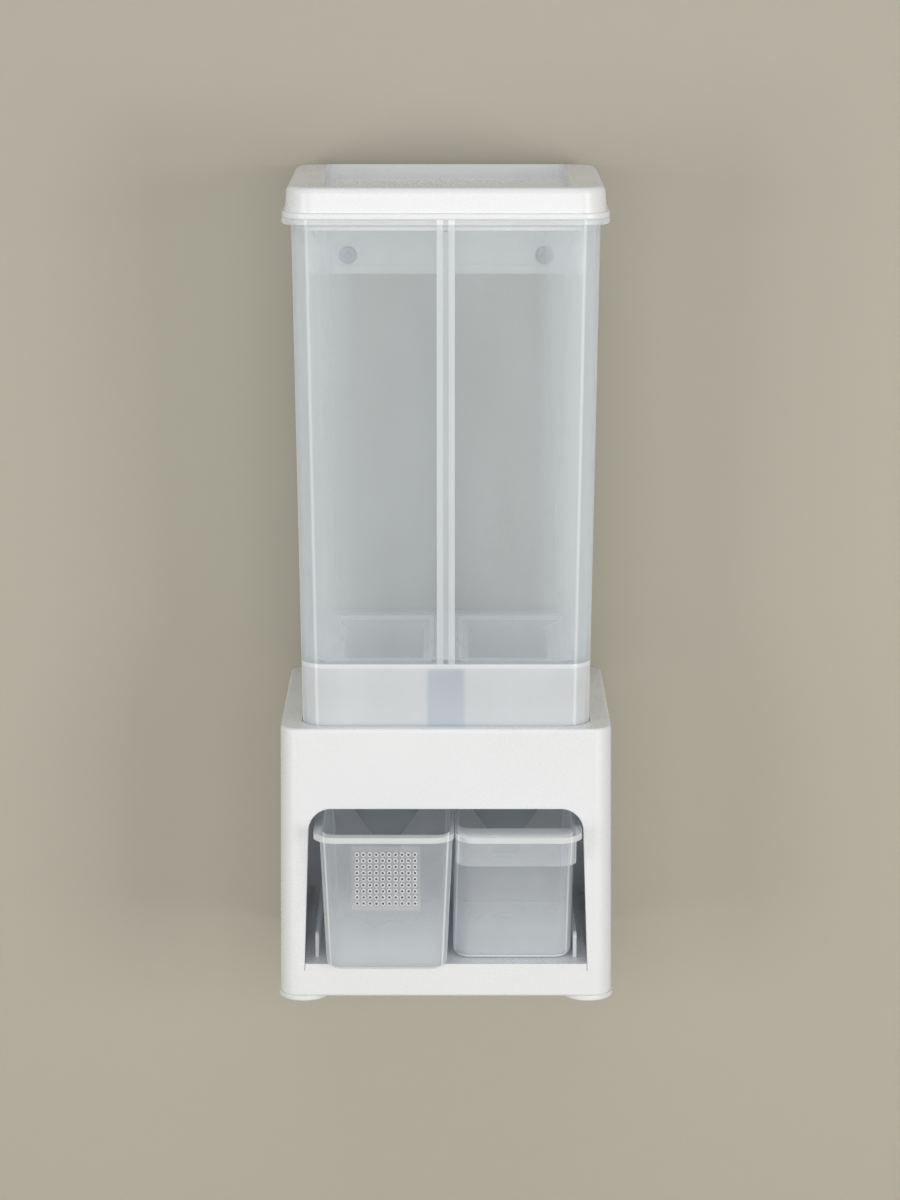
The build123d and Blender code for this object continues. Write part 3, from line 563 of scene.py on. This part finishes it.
# A finished mesh as a piece, which rides on a body unless body is None
def addPiece(name, shape, finish, body):
    bmesh.ops.remove_doubles(shape, verts=shape.verts, dist=mergeWithin)
    bmesh.ops.recalc_face_normals(shape, faces=shape.faces)
    mesh = bpy.data.meshes.new(name)
    shape.to_mesh(mesh)
    shape.free()
    for face in mesh.polygons:
        face.use_smooth = True
    mesh.set_sharp_from_angle(angle=math.radians(creaseAngle))
    mesh.materials.append(finishes[finish])
    piece = bpy.data.objects.new(name, mesh)
    bpy.context.scene.collection.objects.link(piece)
    if body:
        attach(piece, body)
    return piece


# A closed turned shape about Z, from its outline of (radius, height) points
def turn(shape, outline, steps):
    points = [shape.verts.new((radius, 0, height)) for radius, height in outline]
    edges = [shape.edges.new(pair) for pair in zip(points, points[1:])]
    bmesh.ops.spin(
        shape,
        geom=points + edges,
        cent=(0, 0, 0),
        axis=(0, 0, 1),
        angle=2 * math.pi,
        steps=steps,
        use_merge=True,
    )


# Puts a copy of a shape at each place and removes the shape itself
def repeat(shape, places):
    whole = list(shape.verts) + list(shape.edges) + list(shape.faces)
    first = list(shape.verts)
    for place in places:
        copy = bmesh.ops.duplicate(shape, geom=whole)["geom"]
        moved = [part for part in copy if isinstance(part, bmesh.types.BMVert)]
        bmesh.ops.transform(shape, matrix=place, verts=moved)
    bmesh.ops.delete(shape, geom=first, context="VERTS")


# Sinks a cross into the flat top of a screw's head
def sinkCross(screw, look):
    top = look["headThick"] - mergeWithin

    def topFaces():
        return [face for face in screw.faces if face.calc_center_median().z > top]

    half, slim = look["crossLong"] / 2, look["crossWide"] / 2
    for across in ((1, 0, 0), (0, 1, 0)):
        for out in (-half, -slim, slim, half):
            cut = topFaces()
            around = [edge for face in cut for edge in face.edges]
            corners = [vert for face in cut for vert in face.verts]
            bmesh.ops.bisect_plane(
                screw,
                geom=list(dict.fromkeys(cut + around + corners)),
                dist=mergeWithin / 2,
                plane_co=Vector(across) * out,
                plane_no=across,
            )
    cross = []
    for face in topFaces():
        middle = face.calc_center_median()
        reach = sorted((abs(middle.x), abs(middle.y)))
        if reach[0] < slim and reach[1] < half:
            cross.append(face)
    sunk = bmesh.ops.extrude_face_region(screw, geom=cross)["geom"]
    low = [part for part in sunk if isinstance(part, bmesh.types.BMVert)]
    bmesh.ops.translate(screw, vec=(0, 0, -look["crossDeep"]), verts=low)
    taper = look["crossTaper"]
    bmesh.ops.scale(screw, vec=(taper, taper, 1), space=Matrix.Identity(4), verts=low)


# Pan-head screws with a cross recess and a ringed shank. The seat of the head is at
# height 0, and the shank goes down from it.
def addScrews(name, look, places):
    screw = bmesh.new()
    head, tall, radius = look["headRadius"], look["headThick"], look["radius"]
    flat, straight = look["headFlat"], look["headStraight"]
    outline = [(0, tall)]
    for turned in range(look["headRings"] + 1):
        angle = math.radians(90 * (1 - turned / look["headRings"]))
        outline.append(
            (
                head * (flat + (1 - flat) * math.cos(angle)),
                tall * (straight + (1 - straight) * math.sin(angle)),
            )
        )
    outline += [(head, 0), (radius, 0)]
    down = look["plain"]
    while down < look["length"] - look["point"]:
        outline.append((radius, -down))
        outline.append((radius - look["threadDepth"], -down - look["pitch"] / 2))
        down += look["pitch"]
    outline += [(radius * look["tip"], -look["length"]), (0, -look["length"])]
    turn(screw, outline, look["steps"])
    bmesh.ops.remove_doubles(screw, verts=screw.verts, dist=mergeWithin)
    sinkCross(screw, look)
    repeat(screw, places)
    return addPiece(name, screw, look["finish"], "frame")


wallScrew = {
    "finish": "blueSteel",
    "headRadius": 4.7 * mm,
    "headThick": 2.2 * mm,
    "headFlat": 0.6,  # share of the head's radius that is flat
    "headStraight": 0.4,  # share of its height that is straight
    "headRings": 4,
    "radius": 2.0 * mm,
    "length": 1.8 * mm,
    "plain": 0.2 * mm,
    "point": 0.5 * mm,
    "pitch": 1.2 * mm,
    "threadDepth": 0.25 * mm,
    "tip": 0.3,
    "crossLong": 4.2 * mm,
    "crossWide": 1.1 * mm,
    "crossDeep": 1.3 * mm,
    "crossTaper": 0.6,
    "steps": 48,
    "sideways": 52.0 * mm,
    "seatFromWall": 1.8 * mm,
}
onWall = Matrix.Rotation(math.radians(90), 4, "X")
addScrews(
    "wallScrews",
    wallScrew,
    [
        Matrix.Translation((side * wallScrew["sideways"], -wallScrew["seatFromWall"], 0)) @ onWall
        for side in (-1, 1)
    ],
)
baseScrew = dict(
    wallScrew,
    headRadius=3.6 * mm,
    headThick=1.9 * mm,
    crossLong=3.2 * mm,
    crossWide=0.9 * mm,
    length=2.4 * mm,
    sideways=66.0 * mm,
    seatFromWall=2.4 * mm,
    aboveFeet=80.0 * mm,
)
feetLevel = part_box("feet")[0][2]
addScrews(
    "baseScrews",
    baseScrew,
    [
        Matrix.Translation(
            (
                side * baseScrew["sideways"],
                -baseScrew["seatFromWall"],
                feetLevel + baseScrew["aboveFeet"],
            )
        )
        @ onWall
        for side in (-1, 1)
    ],
)

# The assembly screws take the place of the plain ones, each where its node has it
assemblyScrew = dict(
    wallScrew,
    finish="steel",
    headRadius=3.0 * mm,
    headThick=1.8 * mm,
    radius=1.3 * mm,
    plain=0.4 * mm,
    point=1.4 * mm,
    pitch=1.0 * mm,
    crossLong=2.8 * mm,
    crossWide=0.8 * mm,
    crossDeep=1.1 * mm,
    steps=28,
)
headUnder = Matrix.Rotation(math.radians(180), 4, "X")
for node, name, length in (
    ("tray_screws", "trayScrews", 14.0 * mm),
    ("deck_screws", "deckScrews", 8.4 * mm),
):
    low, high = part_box(node)
    inset = assemblyScrew["headRadius"]
    seat = low[2] + assemblyScrew["headThick"]
    screws = addScrews(
        name,
        dict(assemblyScrew, length=length),
        [
            Matrix.Translation((x, y, seat)) @ headUnder
            for x in (low[0] + inset, high[0] - inset)
            for y in (low[1] + inset, high[1] - inset)
        ],
    )
    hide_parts(node)
print("screws made")

# Each torsion spring is a copy of its node, which it replaces, and stays fixed; the coil's ends
# are reckoned but not used.
springCoil = {
    "wire": 0.8 * mm,
    "radius": 3.2 * mm,
    "pitch": 1.15 * mm,
    "turns": 4,
    "legDown": 12.0 * mm,
}


def addSpring(side, look):
    node = side + "_spring"
    low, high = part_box(node)
    outwards = 1 if side == "right" else -1
    tip = max(abs(low[0]), abs(high[0]))
    slope = look["pitch"] / (2 * math.pi * look["radius"])
    coilEnd = tip - look["wire"] / 2 - slope * look["legDown"]
    coilStart = coilEnd - look["pitch"] * look["turns"]
    wire = bmesh.new()
    wire.from_mesh(frame["nodes"][node].data)
    piece = addPiece(side + "Spring", wire, "steel", None)
    outwards * coilStart
    outwards * coilEnd
    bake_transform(piece)
    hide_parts(node)


addSpring("left", springCoil)
addSpring("right", springCoil)
print("springs made")

# Raised rings round the drain holes of the left cup, and a dark lining in the holes that is
# painted shade
drainGrid = {
    "columns": 10,
    "rows": 9,
    "pitch": 3.25 * mm,
    "holeRadius": 0.72 * mm,
    "ringRadius": 1.2 * mm,
    "rise": 0.35 * mm,
    "innerRise": 0.8,  # shares of the rise
    "outerRise": 0.4,
    "liningRise": 0.5,
    "sunk": 0.1 * mm,
    "lining": 0.1 * mm,
    "liningCover": 0.025 * mm,
    "deep": 1.3 * mm,
    "steps": 10,
    "padThick": 0.3 * mm,
}


def drainPlace(look):
    low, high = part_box("left_cup")
    lean = math.radians(cupForm["leftLean"])
    front = low[1] + overhang + cupForm["padBelowRim"] * math.tan(lean)
    return (
        Matrix.Translation((padMiddle, front, high[2] - cupForm["padBelowRim"]))
        @ Matrix.Rotation(math.radians(90) + lean, 4, "X")
        @ Matrix.Translation((0, 0, look["padThick"]))
    )


# The same closed ring at every hole of the grid
def addToDrain(name, look, outline, finish):
    rings = bmesh.new()
    turn(rings, outline + outline[:1], look["steps"])
    bmesh.ops.remove_doubles(rings, verts=rings.verts, dist=mergeWithin)
    pad = drainPlace(look)
    across, along = (
        [look["pitch"] * (step - (count - 1) / 2) for step in range(count)]
        for count in (look["columns"], look["rows"])
    )
    repeat(rings, [pad @ Matrix.Translation((x, y, 0)) for x in across for y in along])
    addPiece(name, rings, finish, "left_cup")


hole, ring, rise = drainGrid["holeRadius"], drainGrid["ringRadius"], drainGrid["rise"]
addToDrain(
    "drainRings",
    drainGrid,
    [
        (hole, -drainGrid["sunk"]),
        (hole, rise * drainGrid["innerRise"]),
        ((hole + ring) / 2, rise),
        (ring, rise * drainGrid["outerRise"]),
        (ring, -drainGrid["sunk"]),
    ],
    "ring",
)
inside, outside = hole - drainGrid["lining"], hole + drainGrid["liningCover"]
bottom, top = -drainGrid["deep"], rise * drainGrid["liningRise"]
addToDrain(
    "drainHoleShade",
    drainGrid,
    [(inside, bottom), (inside, top), (outside, top), (outside, bottom)],
    "hole",
)
print("drain rings made")

# Backdrop, floor, lights and camera
studio = {
    "wallColour": (0.49, 0.46, 0.38),
    "floorColour": (0.52, 0.5, 0.44),
    "wallGap": 1.0 * mm,
    "floorBelow": 0.45,
    "size": 6.0,
    "roughness": 0.8,
    "speckleScale": 220.0,
    "speckleDetail": 4.0,
    "speckleDepth": 0.2 * mm,
    "speckleStrength": 0.4,
    "clearWithin": 4.0 * mm,
    "worldColour": (0.95, 0.97, 1.0),
    "seenColour": (0.6, 0.58, 0.52),
    "worldStrength": 0.34,
}


# Painted, but clear from behind, and also to rays that start within a few millimetres, so
# that what lies against the wall gets light there
def makeStageFinish(name, colour):
    finish, start, surface = newFinish(name)
    speckle = noise(start, studio["speckleScale"], studio["speckleDetail"])
    painted = start.node(
        "ShaderNodeBsdfPrincipled",
        None,
        {
            "Base Color": (*colour, 1.0),
            "Roughness": studio["roughness"],
            "Normal": bumpFrom(
                start, speckle, studio["speckleDepth"], studio["speckleStrength"]
            ),
        },
    )
    behind = start.node("ShaderNodeNewGeometry", out="Backfacing")
    travelled = start.node("ShaderNodeLightPath", out="Ray Length")
    touching = start.maths("LESS_THAN", travelled, studio["clearWithin"])
    clear = start.node("ShaderNodeBsdfTransparent")
    shown = start.node(
        "ShaderNodeMixShader",
        None,
        {0: start.maths("MAXIMUM", behind, touching), 1: painted, 2: clear},
    )
    finish.node_tree.links.new(shown.socket, surface)
    return finish


def addStage(name, colour, place):
    shape = bmesh.new()
    bmesh.ops.create_grid(shape, x_segments=1, y_segments=1, size=studio["size"] / 2)
    bmesh.ops.transform(shape, matrix=place, verts=shape.verts)
    mesh = bpy.data.meshes.new(name)
    shape.to_mesh(mesh)
    shape.free()
    mesh.materials.append(makeStageFinish(name, colour))
    sheet = bpy.data.objects.new(name, mesh)
    bpy.context.scene.collection.objects.link(sheet)


wallPlace = Matrix.Translation((0, cadBox[1][1] + studio["wallGap"], 0)) @ Matrix.Rotation(
    math.radians(90), 4, "X"
)
floorPlace = Matrix.Translation((0, 0, cadBox[0][2] - studio["floorBelow"]))
addStage("backdrop", studio["wallColour"], wallPlace)
addStage("floor", studio["floorColour"], floorPlace)

lamps = {
    "front": {
        "at": (0.0, -2.5, 0.1),
        "size": (1.4, 0.8),
        "power": 11.5,
        "colour": (1.0, 0.99, 0.975),
    },
    "right": {
        "at": (1.45, -1.85, -0.15),
        "size": (0.8, 1.0),
        "power": 14.5,
        "colour": (1.0, 0.99, 0.975),
    },
    "left": {
        "at": (-1.45, -1.85, -0.2),
        "size": (0.8, 1.0),
        "power": 11.0,
        "colour": (0.98, 0.99, 1.0),
    },
    "above": {
        "at": (0.0, -0.8, 2.2),
        "size": (1.4, 0.8),
        "power": 7.5,
        "colour": (0.96, 0.98, 1.0),
    },
}
aimPoint = Vector((0, -0.07, -0.15))
for name, lamp in lamps.items():
    light = bpy.data.lights.new(name, "AREA")
    light.shape = "RECTANGLE"
    light.size, light.size_y = lamp["size"]
    light.energy = lamp["power"]
    light.color = lamp["colour"]
    holder = bpy.data.objects.new(name, light)
    holder.rotation_euler = (aimPoint - Vector(lamp["at"])).to_track_quat("-Z", "Y").to_euler()
    holder.location = lamp["at"]
    bpy.context.scene.collection.objects.link(holder)

# The world lights softly, and where it is seen or mirrored it is as pale as the wall
world = bpy.data.worlds.new("studio")
world.use_nodes = True
world.node_tree.nodes.clear()
bpy.context.scene.world = world
sky = Wire(world.node_tree)
lighting = sky.node(
    "ShaderNodeBackground",
    None,
    {"Color": (*studio["worldColour"], 1.0), "Strength": studio["worldStrength"]},
)
seen = sky.node(
    "ShaderNodeBackground", None, {"Color": (*studio["seenColour"], 1.0), "Strength": 1.0}
)
rays = [
    sky.node("ShaderNodeLightPath", out=name)
    for name in ("Is Camera Ray", "Is Glossy Ray", "Is Transmission Ray")
]
isSeen = sky.maths("MAXIMUM", sky.maths("MAXIMUM", rays[0], rays[1]), rays[2])
whole = sky.node("ShaderNodeMixShader", None, {0: isSeen, 1: lighting, 2: seen})
skyOutput = world.node_tree.nodes.new("ShaderNodeOutputWorld")
world.node_tree.links.new(whole.socket, skyOutput.inputs["Surface"])

cameraView = {
    "lens": 105.0,
    "sensor": 36.0,
    "sideways": 2.1 * mm,
    "inFront": 1853.0 * mm,  # of the wall's face
    "aboveFeet": 577.9 * mm,
    "downward": 12.09,
}
camera = bpy.data.cameras.new("camera")
camera.lens = cameraView["lens"]
camera.sensor_width = cameraView["sensor"]
cameraHolder = bpy.data.objects.new("camera", camera)
cameraHolder.location = (
    cameraView["sideways"],
    -cameraView["inFront"],
    feetLevel + cameraView["aboveFeet"],
)
cameraHolder.rotation_euler = (math.radians(90 - cameraView["downward"]), 0, 0)
bpy.context.scene.collection.objects.link(cameraHolder)
bpy.context.scene.camera = cameraHolder
bpy.context.scene.view_settings.view_transform = "Standard"
# The milky walls stand one behind another, and white plastic lights its own inside
bpy.context.scene.cycles.transparent_max_bounces = 24
bpy.context.scene.cycles.diffuse_bounces = 10
bpy.context.scene.cycles.max_bounces = 16
print("studio ready")
